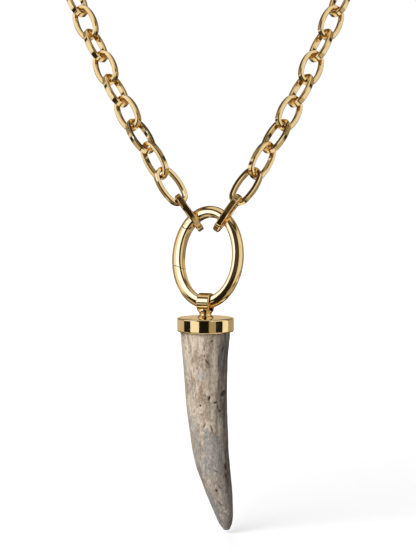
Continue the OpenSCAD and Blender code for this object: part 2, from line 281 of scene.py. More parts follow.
# Fineness of the meshes
LINK_SIDES = 84
RING_STEPS, CORNER_STEPS, EAR_STEPS, DISC_STEPS = 240, 11, 40, 72
BAIL_STEPS, NECK_STEPS, CAP_STEPS = 160, 96, 192
MOUTH_STEPS, WAIST_STEPS = 26, 16
ANTLER_SIDES = 240
ANTLER_SPACING = 0.2
# Distance of the loops beside a rounding, which keep the flat next to it flat in its shading
SUPPORT = 0.04


def unit(v):
    return v / np.linalg.norm(v)


def new_object(name, points, faces, smooth=True):
    """A mesh object from points in millimetres, with its faces turned outwards."""
    mesh = bpy.data.meshes.new(name)
    mesh.from_pydata((np.asarray(points) * MM).tolist(), [], [tuple(int(i) for i in f) for f in faces])
    mesh.validate()
    shell = bmesh.new()
    shell.from_mesh(mesh)
    bmesh.ops.recalc_face_normals(shell, faces=shell.faces)
    shell.to_mesh(mesh)
    shell.free()
    if smooth:
        mesh.shade_smooth()
    obj = bpy.data.objects.new(name, mesh)
    bpy.context.scene.collection.objects.link(obj)
    return obj


def skin(rings, sides, closed):
    """Faces of a skin over loops of points, closed into a hoop or capped at both ends."""
    faces = []
    for i in range(rings if closed else rings - 1):
        a, b = i * sides, (i + 1) % rings * sides
        for j in range(sides):
            n = (j + 1) % sides
            faces.append((a + j, a + n, b + n, b + j))
    if not closed:
        faces.append(tuple(reversed(range(sides))))
        faces.append(tuple(range((rings - 1) * sides, rings * sides)))
    return faces


def rounded(corners, radius, steps):
    """Closed section with rounded corners, taken anticlockwise. Columns: outwards, up."""
    points = []
    count = len(corners)
    for i, corner in enumerate(corners):
        before, after = corner - corners[i - 1], corners[(i + 1) % count] - corner
        first = math.atan2(-before[0], before[1])
        turn = (math.atan2(-after[0], after[1]) - first) % math.tau
        middle = first + turn / 2
        centre = corner - radius / math.cos(turn / 2) * np.array([math.cos(middle), math.sin(middle)])
        tangent = radius * math.tan(turn / 2) + SUPPORT
        points.append(corner - tangent * unit(before))
        for s in range(steps + 1):
            angle = first + turn * s / steps
            points.append(centre + radius * np.array([math.cos(angle), math.sin(angle)]))
        points.append(corner + tangent * unit(after))
    return np.array(points)


def merge(obj, other, operation):
    """Joins, cuts or trims one closed mesh with another, which is used up."""
    modifier = obj.modifiers.new("merge", "BOOLEAN")
    modifier.operation = operation
    modifier.solver = "EXACT"
    modifier.material_mode = "TRANSFER"
    modifier.object = other
    graph = bpy.context.evaluated_depsgraph_get()
    mesh = bpy.data.meshes.new_from_object(obj.evaluated_get(graph))
    obj.modifiers.clear()
    obj.data = mesh
    bpy.data.objects.remove(other)


def smooth_but_edges(obj, angle=30):
    """Smooth shading, with edges sharper than an angle in degrees left sharp."""
    obj.data.shade_smooth()
    obj.data.set_sharp_from_angle(angle=math.radians(angle))


def lathe(name, profile, steps):
    """A profile turned about Z. Columns: radius, height. It is closed, or starts and ends on the axis."""
    angles = np.arange(steps) / steps * math.tau
    across, back = np.cos(angles), np.sin(angles)
    rows = []
    for radius, height in profile:
        if radius == 0:
            rows.append(np.array([[0, 0, height]]))
        else:
            rows.append(np.stack([radius * across, radius * back, np.full(steps, height)], axis=1))
    starts = np.cumsum([0] + [len(row) for row in rows])
    hoop = len(rows[0]) > 1
    faces = []
    for i in range(len(rows) if hoop else len(rows) - 1):
        n = (i + 1) % len(rows)
        a, b = starts[i], starts[n]
        for j in range(steps):
            k = (j + 1) % steps
            if len(rows[i]) == 1:
                faces.append((a, b + k, b + j))
            elif len(rows[n]) == 1:
                faces.append((a + j, a + k, b))
            else:
                faces.append((a + j, a + k, b + k, b + j))
    return new_object(name, np.concatenate(rows), faces)


def place(obj, turn, shift):
    """Turns a mesh by a matrix and moves it, in millimetres."""
    points = np.empty(len(obj.data.vertices) * 3)
    obj.data.vertices.foreach_get("co", points)
    points = points.reshape(-1, 3) @ np.asarray(turn).T + np.asarray(shift) * MM
    obj.data.vertices.foreach_set("co", points.ravel())
    obj.data.update()


def turned(axis, angle):
    """Matrix that turns about X, Y or Z."""
    c, s = math.cos(angle), math.sin(angle)
    return {"X": np.array([[1, 0, 0], [0, c, -s], [0, s, c]]),
            "Y": np.array([[c, 0, s], [0, 1, 0], [-s, 0, c]]),
            "Z": np.array([[c, -s, 0], [s, c, 0], [0, 0, 1]])}[axis]


def piece(obj, body, replaced):
    """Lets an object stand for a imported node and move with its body."""
    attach(obj, body)
    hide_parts(replaced)
    return obj


def curve(a, b, c, d, t):
    """Point on the smooth curve through four points, from the second (t = 0) to the third (t = 1)."""
    bend = 2 * a - 5 * b + 4 * c - d
    twist = 3 * b - a - 3 * c + d
    return 0.5 * (2 * b + (c - a) * t + bend * t ** 2 + twist * t ** 3)


# Chain
def chain_route():
    """Points along the right-hand half of the chain, and how far along each one lies."""
    over_nape = STATIONS[-2] * np.array([-1, 1, 1])
    guides = [2 * STATIONS[0] - STATIONS[1], *STATIONS, over_nape]
    points = [curve(*guides[i:i + 4], j / ROUTE_STEPS)
              for i in range(len(STATIONS) - 1) for j in range(ROUTE_STEPS)]
    points = np.array([*points, NAPE])
    steps = np.linalg.norm(np.diff(points, axis=0), axis=1)
    return points, np.concatenate([[0], np.cumsum(steps)])


ROUTE, RUN = chain_route()
PITCH = RUN[-1] / (LINKS_PER_SIDE + 0.5)
LINK_LENGTH = PITCH + 2 * LINK_WALL + LINK_GAP


def hook(side, k):
    """Where link k hooks into link k + 1, on one side of the neck."""
    s = k * PITCH
    over = s > RUN[-1]
    p = np.array([np.interp(2 * RUN[-1] - s if over else s, RUN, ROUTE[:, i]) for i in range(3)])
    away = max(0.0, 1 - s / OFFSET_RUN)
    return np.array([side * (-p[0] if over else p[0]), p[1] - side * CHAIN_OFFSET * away ** 2, p[2]]) - NAPE


def link_roll(side, k):
    """Roll of link k. Links lie flat and on edge in turn, and a turn that all share fades from the ring."""
    if k == 1:
        return ROLL_AT_RING - side * ROLL_APART
    lie = ROLL_SLACK - 90 if k % 2 == 0 else -ROLL_SLACK
    return lie + (ROLL_SHARED - side * ROLL_APART) * math.exp(-((k - 1) / ROLL_FADE) ** 2)


def link_frame(side, k):
    """Middle and axes (length, width, face) of link k."""
    a, b = hook(side, k - 1), hook(side, k)
    length_axis = unit(b - a)
    middle = (a + b) / 2
    outward = np.array([middle[0], middle[1] + NAPE[1] - NECK_AXIS_BACK, 0])
    outward = unit(outward - outward @ length_axis * length_axis)
    inward = side * np.cross(length_axis, outward)
    roll = math.radians(link_roll(side, k))
    face = math.cos(roll) * outward + math.sin(roll) * inward
    return middle, np.array([length_axis, np.cross(face, length_axis), face])


def link_loop(count):
    """Middle line of a flat link, evenly spaced, and its outward directions."""
    half_width = (LINK_WIDTH - LINK_WALL) / 2
    run = (LINK_LENGTH - LINK_WIDTH) / 2 / (ARC_RUN - 1)
    end_half, side_half = math.atan2(ARC_RISE, ARC_RUN), math.atan2(ARC_RUN, ARC_RISE)
    # Columns: the arc's middle, its radius, and its first and last angle
    arcs = []
    for turn in (0, math.pi):
        c, s = math.cos(turn), math.sin(turn)
        arcs.append((ARC_RUN * run * c, ARC_RUN * run * s, half_width - run,
                     turn - end_half, turn + end_half))
        arcs.append((ARC_RISE * run * s, -ARC_RISE * run * c, half_width + ARC_RISE * run,
                     turn + math.pi / 2 - side_half, turn + math.pi / 2 + side_half))
    lengths = [r * (b - a) for _, _, r, a, b in arcs]
    points, outs = [], []
    for i in range(count):
        d = (i + 0.5) / count * sum(lengths)
        for (x, y, r, a, b), length in zip(arcs, lengths):
            if d <= length:
                break
            d -= length
        angle = a + d / r
        points.append((x + r * math.cos(angle), y + r * math.sin(angle)))
        outs.append((math.cos(angle), math.sin(angle)))
    return np.array(points), np.array(outs)


def link_section():
    """Bevelled section of a link's wall. Columns: outwards, up from the link's plane."""
    a, b, c = LINK_WALL / 2, LINK_DEPTH / 2, LINK_BEVEL
    corners = np.array([[a, b - c], [a - c, b], [c - a, b], [-a, b - c],
                        [-a, c - b], [c - a, -b], [a - c, -b], [a, c - b]])
    return rounded(corners, LINK_EDGE, steps=2)


LINK_SECTION = link_section()


def link_points(side, k):
    """Points of link k, one loop of its section after the other."""
    middle, axes = link_frame(side, k)
    line, outs = link_loop(LINK_SIDES)
    flat = line[:, None, :] + outs[:, None, :] * LINK_SECTION[None, :, :1]
    up = np.broadcast_to(LINK_SECTION[None, :, 1:], (LINK_SIDES, len(LINK_SECTION), 1))
    local = np.concatenate([flat, up], axis=2).reshape(-1, 3)
    return middle + local @ axes


def build_links(name, members, replaced):
    """One piece of one or more links."""
    points, faces = [], []
    for side, k in members:
        start = sum(len(p) for p in points)
        points.append(link_points(side, k))
        faces.extend(tuple(start + i for i in f) for f in skin(LINK_SIDES, len(LINK_SECTION), True))
    return piece(new_object(name, np.concatenate(points), faces), "chain", replaced)


def build_chain():
    made = []
    for side, word in ((-1, "left"), (1, "right")):
        for k in range(1, FREE_LINKS + 1):
            made.append(build_links(f"{word}_link_{k:02d}", [(side, k)], f"link_{word}_{k:02d}"))
        last = FREE_LINKS + STRETCH_LINKS
        made.append(build_links(f"{word}_back_links", [(side, k) for k in range(FREE_LINKS + 1, last + 1)],
                                f"chain_back_{word}"))
    ends = range(FREE_LINKS + STRETCH_LINKS + 1, LINKS_PER_SIDE + 1)
    members = [(side, k) for side in (-1, 1) for k in ends] + [(1, LINKS_PER_SIDE + 1)]
    made.append(build_links("nape_links", members, "chain_back_nape"))
    return made


# Ring and gate. In its own frame the ring lies in the XZ plane about its middle, with its front towards -Y.
def ring_outside(t):
    """Point of the ring's outline at an angle. Columns: right, up."""
    return RING_SIZE / 2 * np.array([math.cos(t), math.sin(t)])


def ring_inside(t):
    """Point of the opening's outline at an angle."""
    return OPENING_SIZE / 2 * np.array([math.cos(t), math.sin(t)]) + np.array([OPENING_SHIFT, 0])


def ring_middle(t):
    """Middle of the ring's wall at an angle."""
    return (ring_outside(t) + ring_inside(t)) / 2


RING_TURN = turned("X", -RING_LEAN) @ turned("Z", -RING_YAW)


def ring_centre():
    """The ring's middle, placed so that the ring is lowest where the bail hangs."""
    width, height = RING_SIZE + OPENING_SIZE
    low = math.atan2(-height * math.cos(RING_LEAN), -width * math.sin(RING_YAW) * math.sin(RING_LEAN))
    x, z = ring_middle(low)
    return HANG - RING_TURN @ np.array([x, 0, z])


def ring_section(half_wall, half_depth):
    """Section of the ring, full outside and square inside. Columns: outwards, back."""
    points = []
    for quarter in range(4):
        outer, back = (1, -1, -1, 1)[quarter], (1, 1, -1, -1)[quarter]
        across, deep = ROUND_OUTSIDE if outer > 0 else ROUND_INSIDE
        for step in range(CORNER_STEPS + 1):
            a = (quarter + step / CORNER_STEPS) * math.pi / 2
            points.append((outer * (half_wall - across) + across * math.cos(a),
                           back * (half_depth - deep) + deep * math.sin(a)))
    return points


def ring_blank(name, material, inset=0.0):
    """The whole ring, or a core that lies deeper in it by an inset."""
    points = []
    for i in range(RING_STEPS):
        t = i / RING_STEPS * math.tau
        across = ring_outside(t) - ring_inside(t)
        middle, out = ring_middle(t), unit(across)
        for p, depth in ring_section(np.linalg.norm(across) / 2 - inset, RING_DEPTH / 2 - inset):
            x, z = middle + out * p
            points.append((x, depth, z))
    blank = new_object(name, points, skin(RING_STEPS, 4 * (CORNER_STEPS + 1), True))
    blank.data.materials.append(material)
    return blank


HINGE_AT = ring_middle(HINGE_ANGLE)
HINGE_OUT = unit(ring_outside(HINGE_ANGLE) - ring_inside(HINGE_ANGLE))
SEAM_AT = ring_middle(SEAM_ANGLE)
SEAM_WAY = np.array([math.cos(SEAM_SLOPE), math.sin(SEAM_SLOPE)])
SEAM_UP = np.array([-SEAM_WAY[1], SEAM_WAY[0]])


def gate_outline(seam_gap, radius, bulge):
    """Outline round the gate's stretch of the ring, with a round end at the hinge.

    The end bulges into the gate where bulge is 1, and away from it where bulge is -1.
    """
    gate_way = np.array([-HINGE_OUT[1], HINGE_OUT[0]])
    end = [HINGE_AT + radius * (math.cos(a) * HINGE_OUT + bulge * math.sin(a) * gate_way)
           for a in np.linspace(0, math.pi, EAR_STEPS + 1)]
    return np.array([
        HINGE_AT + REACH * HINGE_OUT,
        *end,
        HINGE_AT - REACH / 2 * HINGE_OUT,
        SEAM_AT + REACH / 2 * SEAM_WAY + seam_gap * SEAM_UP,
        SEAM_AT - REACH * SEAM_WAY + seam_gap * SEAM_UP,
        SEAM_AT - REACH * SEAM_WAY + np.array([-REACH, REACH]),
    ])


def slab(outline, front, back, material):
    """A flat outline in the ring's plane, given a depth from front to back."""
    points = [(x, y, z) for y in (front, back) for x, z in outline]
    made = new_object("slab", points, skin(2, len(outline), False), smooth=False)
    made.data.materials.append(material)
    return made


def disc(radius, front, back, material):
    """A slab round the hinge's axis."""
    outline = [HINGE_AT + radius * np.array([math.cos(a), math.sin(a)])
               for a in np.arange(DISC_STEPS) / DISC_STEPS * math.tau]
    return slab(outline, front, back, material)


def seam_core(half_depth, material):
    """A short core in the gate's free end. It closes the seam to the eye."""
    corners = [SEAM_AT + across * SEAM_WAY + up * SEAM_UP
               for across, up in ((-CORE_HALF, CORE_START), (CORE_HALF, CORE_START),
                                  (CORE_HALF, CORE_END), (-CORE_HALF, CORE_END))]
    core = ring_blank("core", material, CORE_INSET)
    merge(core, slab(corners, -half_depth, half_depth, material), "INTERSECT")
    return core


def build_ring(gold, gap):
    """The ring with its ears, and the gate with its tongue, cut from the same blank."""
    deep, tongue = RING_DEPTH / 2 + CLEAR, TONGUE_DEPTH / 2
    body = ring_blank("oval_ring", gold)
    merge(body, slab(gate_outline(0, EAR_RADIUS, 1), -deep, deep, gap), "DIFFERENCE")
    slot = tongue + HINGE_GAP
    merge(body, slab(gate_outline(0, EAR_RADIUS + HINGE_GAP, -1), -slot, slot, gap), "DIFFERENCE")
    gate = ring_blank("gate", gold)
    merge(gate, slab(gate_outline(SEAM_GAP, EAR_RADIUS - HINGE_GAP, -1), -deep, deep, gap), "INTERSECT")
    for front, back in ((-deep, -tongue), (tongue, deep)):
        merge(gate, disc(EAR_RADIUS + EAR_GAP, front, back, gap), "DIFFERENCE")
    merge(gate, seam_core(tongue, gap), "UNION")
    for obj in (body, gate):
        smooth_but_edges(obj)
        place(obj, RING_TURN, ring_centre())
    return [piece(body, "chain", "ring_body"), piece(gate, "gate", "ring_gate")]


# Bail and cap. In the pendant's own frame the origin is the middle of the cap's top.
PENDANT_AT = HANG - np.array([0, 0, BAIL_UP])


def arc(centre, radius, first, last, steps=6):
    """Points along an arc, in degrees. Columns: radius from the lathe's axis, height."""
    return [(centre[0] + radius * math.cos(math.radians(a)), centre[1] + radius * math.sin(math.radians(a)))
            for a in np.linspace(first, last, steps + 1)]


def build_bail(gold):
    """The loop round the ring with its flared bore, on a waisted neck and a peg."""
    half, outer, hole, edge = BAIL_WIDTH / 2, BAIL_DIAMETER / 2, BAIL_HOLE / 2, BAIL_ROUND
    flat = half - edge - SUPPORT
    loop = lathe("bail_loop", [(0, -half), *arc((outer - edge, edge - half), edge, -90, 0), (outer, -flat),
                               (outer, flat), *arc((outer - edge, half - edge), edge, 0, 90), (0, half)],
                 BAIL_STEPS)
    mouth = [(hole + BAIL_FLARE / 2 * u * u, half * u)
             for u in np.linspace(-MOUTH_REACH, MOUTH_REACH, MOUTH_STEPS + 1)]
    bore = lathe("bore", [(0, mouth[0][1]), *mouth, (0, mouth[-1][1])], BAIL_STEPS)
    along_ring = turned("Z", -RING_YAW) @ turned("Y", math.pi / 2)
    for obj in (loop, bore):
        obj.data.materials.append(gold)
        place(obj, along_ring, (0, 0, BAIL_UP))
    foot, neck, head, peg = FOOT_DIAMETER / 2, NECK_DIAMETER / 2, HEAD_DIAMETER / 2, PEG_DIAMETER / 2
    waist = [(neck + ((foot if u < 0 else head) - neck) * u * u,
              WAIST_LOW + (WAIST_HIGH - WAIST_LOW) * (u + 1) / 2)
             for u in np.linspace(-1, 1, WAIST_STEPS + 1)]
    stem = lathe("bail_neck", [(0, -PEG_LENGTH), (peg, -PEG_LENGTH), (peg, SEAT), (foot, SEAT), *waist,
                               (head, HEAD_TOP), (neck, BAIL_UP), (0, BAIL_UP)], NECK_STEPS)
    stem.data.materials.append(gold)
    merge(loop, stem, "UNION")
    merge(loop, bore, "DIFFERENCE")
    smooth_but_edges(loop)
    place(loop, np.eye(3), PENDANT_AT)
    return piece(loop, "pendant", "bail")


def build_cap():
    """The cup over the antler's top, with a faint crown, rounded edges and a hole for the peg."""
    r, c, low = CAP_DIAMETER / 2, CAP_ROUND, -CAP_HEIGHT
    wall, hole = r - CAP_WALL, PEG_DIAMETER / 2 + HINGE_GAP
    crown = [(x, -CAP_CROWN * (x / r) ** 2) for x in np.linspace(hole + CAP_BREAK, r - c - CAP_BREAK, 8)]
    profile = [(hole, 0), *crown,
               *reversed(arc((r - c, -c), c, 0, 90, 8)), (r, -c - SUPPORT), (r, low + c + SUPPORT),
               *reversed(arc((r - c, low + c), c, -90, 0, 8)),
               (wall + CAP_BREAK, low), (wall, low + CAP_BREAK), (wall, -CAP_TOP), (hole, -CAP_TOP)]
    cap = lathe("antler_cap", list(reversed(profile)), CAP_STEPS)
    smooth_but_edges(cap, 40)
    place(cap, np.eye(3), PENDANT_AT)
    return piece(cap, "pendant", "cap")


# Antler
def antler_rows():
    """The antler's rows at an even spacing, with a round tip."""
    last = len(ANTLER) - 1
    rows = []
    for i in range(last):
        guides = [ANTLER[max(i - 1, 0)], ANTLER[i], ANTLER[i + 1], ANTLER[min(i + 2, last)]]
        steps = max(2, round((ANTLER[i + 1][0] - ANTLER[i][0]) / ANTLER_SPACING))
        rows.extend(curve(*guides, j / steps) for j in range(steps))
    down, shift, width, depth = ANTLER[last]
    for s in TIP_ROWS:
        a = s * math.pi / 2
        rows.append(np.array([down + (TIP_DOWN - down) * math.sin(a), shift + TIP_LEAN * s,
                              width * math.cos(a), depth * math.cos(a)]))
    return np.array(rows)


def antler_marks():
    """The marks of the front, as seen there, and more of their kind on the other sides."""
    rows = antler_rows()
    marks = []
    for down, across, length, width, slant, depth in MARKS:
        shift, half = (np.interp(down, rows[:, 0], rows[:, c]) for c in (1, 2))
        angle = -math.acos(max(-1, min(1, (across - shift) / half)))
        marks.append((down, angle, length, width, slant, depth))
    random = np.random.RandomState(SEED)
    for _ in range(SCATTERED_MARKS):
        down, angle, length, slant, width, depth = (random.uniform(*span) for span in SCATTERED.values())
        marks.append((down, angle, length, width, slant, depth))
    return marks


def build_antler():
    """The antler with its lumps and marks, and what its colours need to know at each point, its painted
    flank shade included.
    """
    rows = antler_rows()
    angles = np.arange(ANTLER_SIDES) / ANTLER_SIDES * math.tau
    down, shift, width, depth = (rows[:, c:c + 1] for c in range(4))
    x, y = width * np.cos(angles), depth * np.sin(angles)
    spots = np.stack([x, y, np.broadcast_to(-down, x.shape)], axis=2)
    flat = spots.reshape(-1, 3)

    def lumps(across, along, seed, height):
        scaled = flat * (across, across, along) + seed
        return height * np.array([noise_value(p) for p in scaled.tolist()]).reshape(x.shape)

    shape = lumps(*RIDGES) - np.abs(lumps(*GROOVES)) + lumps(*SWELL) + lumps(*GRAIN)
    cut = np.zeros_like(x)
    for mark_down, mark_angle, length, breadth, slant, mark_depth in antler_marks():
        turn = (angles - mark_angle + math.pi) % math.tau - math.pi
        over, along = turn * width, np.broadcast_to(down - mark_down, x.shape)
        c, s = math.cos(math.radians(slant)), math.sin(math.radians(slant))
        lengthwise, crosswise = along * c - over * s, along * s + over * c
        cut += mark_depth * np.exp(-(crosswise / breadth * 2) ** 2 - (lengthwise / length * 2) ** 4)
    bare = np.clip((down - FADE_FROM) / FADE_IN, 0, 1) * np.clip((TIP_DOWN - down) / FADE_OUT, 0, 1)
    out = np.minimum(shape, LUMP_LIMIT) * bare - SHRINK * np.clip(down, 0, 1) - cut * bare
    x = shift + x + out * np.cos(angles)
    y = y + out * np.sin(angles)
    points = np.stack([x, y, np.broadcast_to(-down, x.shape)], axis=2).reshape(-1, 3)
    tip = len(points)
    points = np.concatenate([points, [[shift[-1, 0], 0, -TIP_DOWN]]]) + PENDANT_AT - [0, 0, CAP_HEIGHT]
    faces = skin(len(rows), ANTLER_SIDES, False)[:-1]
    start = (len(rows) - 1) * ANTLER_SIDES
    faces += [(start + j, start + (j + 1) % ANTLER_SIDES, tip) for j in range(ANTLER_SIDES)]
    obj = new_object("antler_tip", points, faces)
    # Painted shade: how strongly the antler's right flank, away from the lamps, is darkened
    painted_flank_shade = np.clip((np.cos(angles + FLANK_TURN) - FLANK_EDGE) / FLANK_SOFT, 0, 1) ** FLANK_FALLOFF
    painted_flank_shade = np.broadcast_to(painted_flank_shade, x.shape)
    tipward = np.broadcast_to(np.clip((down - GREY_FROM) / GREY_RUN, 0, 1), x.shape)
    for name, values in (("hollow", cut / DIRTY_DEPTH), ("tipward", tipward), ("painted_flank_shade", painted_flank_shade)):
        attribute = obj.data.attributes.new(name, "FLOAT", "POINT")
        attribute.data.foreach_set("value", np.append(values.ravel(), 0.0))
    return piece(obj, "pendant", "antler")


# Materials
def node(tree, kind, **settings):
    made = tree.nodes.new(kind)
    for key, value in settings.items():
        setattr(made, key, value)
    return made


def put(tree, value, socket):
    """Feeds a socket with a link or a constant."""
    if isinstance(value, bpy.types.NodeSocket):
        tree.links.new(value, socket)
    else:
        socket.default_value = value


def math_node(tree, operation, *values):
    made = node(tree, "ShaderNodeMath", operation=operation)
    for value, socket in zip(values, made.inputs):
        put(tree, value, socket)
    return made.outputs[0]


def ramp(tree, value, low, high, to_low=0.0, to_high=1.0, smooth=True):
    """Maps a value from one range to another, and holds it at the ends."""
    made = node(tree, "ShaderNodeMapRange", interpolation_type="SMOOTHSTEP" if smooth else "LINEAR")
    put(tree, value, made.inputs["Value"])
    for key, number in (("From Min", low), ("From Max", high), ("To Min", to_low), ("To Max", to_high)):
        put(tree, number, made.inputs[key])
    return made.outputs["Result"]


def mix_colour(tree, factor, a, b):
    """Colour a where the factor is 0, and b where it is 1. Each is a link or red, green and blue."""
    made = node(tree, "ShaderNodeMix", data_type="RGBA")
    put(tree, factor, made.inputs["Factor"])
    for value, socket in ((a, made.inputs[6]), (b, made.inputs[7])):
        if isinstance(value, bpy.types.NodeSocket):
            tree.links.new(value, socket)
        else:
            socket.default_value = (*value, 1)
    return made.outputs[2]


def noise(tree, coordinates, scale, detail=3.0, roughness=0.5, stretch=(1, 1, 1), distortion=0.0):
    """Noise over the piece's own coordinates. The scale is in features per millimetre."""
    mapping = node(tree, "ShaderNodeMapping")
    tree.links.new(coordinates, mapping.inputs["Vector"])
    mapping.inputs["Scale"].default_value = tuple(scale / MM * s for s in stretch)
    made = node(tree, "ShaderNodeTexNoise")
    tree.links.new(mapping.outputs["Vector"], made.inputs["Vector"])
    made.inputs["Scale"].default_value = 1.0
    made.inputs["Detail"].default_value = detail
    made.inputs["Roughness"].default_value = roughness
    made.inputs["Distortion"].default_value = distortion
    return made.outputs["Fac"]


def new_material(name):
    """A material with its node tree, its shader and the piece's own coordinates."""
    material = bpy.data.materials.new(name)
    material.use_nodes = True
    tree = material.node_tree
    shader = tree.nodes["Principled BSDF"]
    coordinates = node(tree, "ShaderNodeTexCoord").outputs["Object"]
    return material, tree, shader, coordinates


def bump(tree, height, strength, distance, normal=None):
    """Bump on top of an earlier one. The distance is in millimetres."""
    made = node(tree, "ShaderNodeBump")
    put(tree, height, made.inputs["Height"])
    made.inputs["Strength"].default_value = strength
    made.inputs["Distance"].default_value = distance * MM
    if normal is not None:
        tree.links.new(normal, made.inputs["Normal"])
    return made.outputs["Normal"]


def gold_material(name):
    """Polished gold plate with a faint waviness, fine scratches and slightly uneven gloss."""
    material, tree, shader, where = new_material(name)
    shader.inputs["Metallic"].default_value = 1.0
    tint = noise(tree, where, 0.35, detail=2)
    colour = mix_colour(tree, ramp(tree, tint, 0.35, 0.65), GOLD, PALE_GOLD)
    tree.links.new(colour, shader.inputs["Base Color"])
    gloss = noise(tree, where, 2.2, detail=4, roughness=0.65)
    tree.links.new(ramp(tree, gloss, 0.3, 0.75, 0.045, 0.11), shader.inputs["Roughness"])
    waves = noise(tree, where, 0.9, detail=2)
    scratches = noise(tree, where, 1.0, detail=5, roughness=0.7, stretch=(9, 9, 1.1))
    normal = bump(tree, waves, 0.3, 0.012)
    normal = bump(tree, scratches, 0.12, 0.012, normal)
    tree.links.new(normal, shader.inputs["Normal"])
    return material


def gap_shade_material(name):
    """Gold darkened with painted shade inside the ring's narrow gaps."""
    material, tree, shader, where = new_material(name)
    shader.inputs["Metallic"].default_value = 1.0
    shade = noise(tree, where, 1.5, detail=3)
    # Painted shade: near black to dark brown over the faces in the gaps
    tree.links.new(mix_colour(tree, shade, PAINTED_GAP_SHADE, BROWN_PAINTED_GAP_SHADE), shader.inputs["Base Color"])
    tree.links.new(ramp(tree, shade, 0.3, 0.7, 0.3, 0.5), shader.inputs["Roughness"])
    return material


def attribute(tree, name):
    return node(tree, "ShaderNodeAttribute", attribute_name=name).outputs["Fac"]


def antler_material():
    """Cream and tan antler with grey clouds, dark lengthwise streaks, dirt in its pits, and painted shade
    on its right flank.
    """
    material, tree, shader, where = new_material("antler_surface")
    clouds = noise(tree, where, 0.17, detail=4, roughness=0.62, stretch=(1, 1, 0.45), distortion=0.4)
    patches = noise(tree, where, 0.42, detail=5, roughness=0.65, stretch=(1, 1, 0.4), distortion=0.6)
    streaks = noise(tree, where, 0.6, detail=6, roughness=0.66, stretch=(1, 1, 0.16))
    speckle = noise(tree, where, 2.2, detail=6, roughness=0.72, stretch=(1, 1, 0.5))
    fine = noise(tree, where, 0.9, detail=5, roughness=0.7, stretch=(1, 1, 0.55), distortion=1.2)
    colour = mix_colour(tree, ramp(tree, patches, 0.38, 0.60), TAN, CREAM)
    # Layers over the ground colour. Columns: pattern, values at which it starts and is full, share, colour.
    for pattern, start, full, share, shade in (
            (clouds, 0.45, 0.62, 0.72, CLOUD_GREY),
            (fine, 0.52, 0.66, 0.6, SMOKE_GREY),
            (fine, 0.46, 0.34, 0.6, BONE),
            (speckle, 0.5, 0.66, 0.6, BROWN),
            (speckle, 0.5, 0.32, 0.45, PALE_CREAM),
            (streaks, 0.54, 0.68, 0.8, STREAK_BROWN)):
        colour = mix_colour(tree, ramp(tree, pattern, start, full, 0, share), colour, shade)
    grey = math_node(tree, "MULTIPLY", attribute(tree, "tipward"), ramp(tree, fine, 0.3, 0.6, 0.2, 0.85))
    colour = mix_colour(tree, grey, colour, SMOKE_GREY)
    # Painted shade over the right flank, broken up by the streaks
    side = math_node(tree, "MULTIPLY", attribute(tree, "painted_flank_shade"), ramp(tree, streaks, 0.40, 0.58, 0.12, 0.9))
    colour = mix_colour(tree, side, colour, PAINTED_FLANK_SHADE)
    colour = mix_colour(tree, ramp(tree, attribute(tree, "hollow"), 0.1, 0.75, 0, 0.95), colour, DIRT)
    tree.links.new(colour, shader.inputs["Base Color"])
    tree.links.new(ramp(tree, speckle, 0.3, 0.7, 0.45, 0.7), shader.inputs["Roughness"])
    normal = bump(tree, streaks, 0.5, 0.2)
    tree.links.new(bump(tree, speckle, 0.6, 0.12, normal), shader.inputs["Normal"])
    return material


# Light
def build_world():
    """The studio that the gold reflects, dimmed for dull surfaces."""
    world = bpy.data.worlds.new("studio")
    bpy.context.scene.world = world
    world.use_nodes = True
    tree = world.node_tree
    background = tree.nodes["Background"]
    direction = node(tree, "ShaderNodeTexCoord").outputs["Generated"]
    split = node(tree, "ShaderNodeSeparateXYZ")
    tree.links.new(direction, split.inputs[0])
    x, y, z = split.outputs
    to_degrees = 180 / math.pi
    forwards = math_node(tree, "MULTIPLY", y, -1.0)
    azimuth = math_node(tree, "MULTIPLY", math_node(tree, "ARCTAN2", x, forwards), to_degrees)
    elevation = math_node(tree, "MULTIPLY", math_node(tree, "ARCSINE", z), to_degrees)
    colour = ROOM
    for _, left, right, low, high, shade, soft in CARDS:
        across = math_node(tree, "MULTIPLY", ramp(tree, azimuth, left - soft / 2, left + soft / 2),
                           ramp(tree, azimuth, right - soft / 2, right + soft / 2, 1.0, 0.0))
        up = math_node(tree, "MULTIPLY", ramp(tree, elevation, low - soft / 2, low + soft / 2),
                       ramp(tree, elevation, high - soft / 2, high + soft / 2, 1.0, 0.0))
        colour = mix_colour(tree, math_node(tree, "MULTIPLY", across, up), colour, shade)
    tree.links.new(colour, background.inputs["Color"])
    diffuse = node(tree, "ShaderNodeLightPath").outputs["Is Diffuse Ray"]
    tree.links.new(ramp(tree, diffuse, 0, 1, 1, DIFFUSE_SHARE, smooth=False), background.inputs["Strength"])


